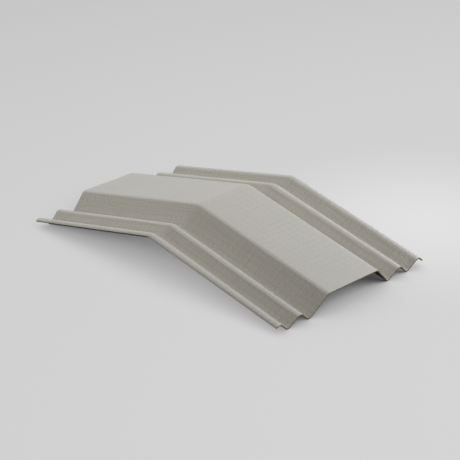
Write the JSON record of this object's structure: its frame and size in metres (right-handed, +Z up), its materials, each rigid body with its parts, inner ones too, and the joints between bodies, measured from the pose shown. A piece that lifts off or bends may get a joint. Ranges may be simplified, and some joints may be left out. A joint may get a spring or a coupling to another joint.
{
  "type": "roof ridge cap",
  "caption": "Moulded fibre-cement roof ridge cap: ribbed sheet with a wide flat-topped crown and small side ribs, bent along the ridge into sloping wings.",
  "frame": {"origin": "on the floor under the middle of the cap, below the ridge line", "axes": "+X down the right wing, +Y along the ridge towards the overlap edge, +Z up"},
  "size_m": [1.007, 0.6172, 0.1693],
  "materials": {
    "fibre_cement": "matt warm grey, felt-marked face, tan cut edges"
  },
  "bodies": {
    "root": {"ridge_cap": "fibre_cement"}
  },
  "joints": []
}
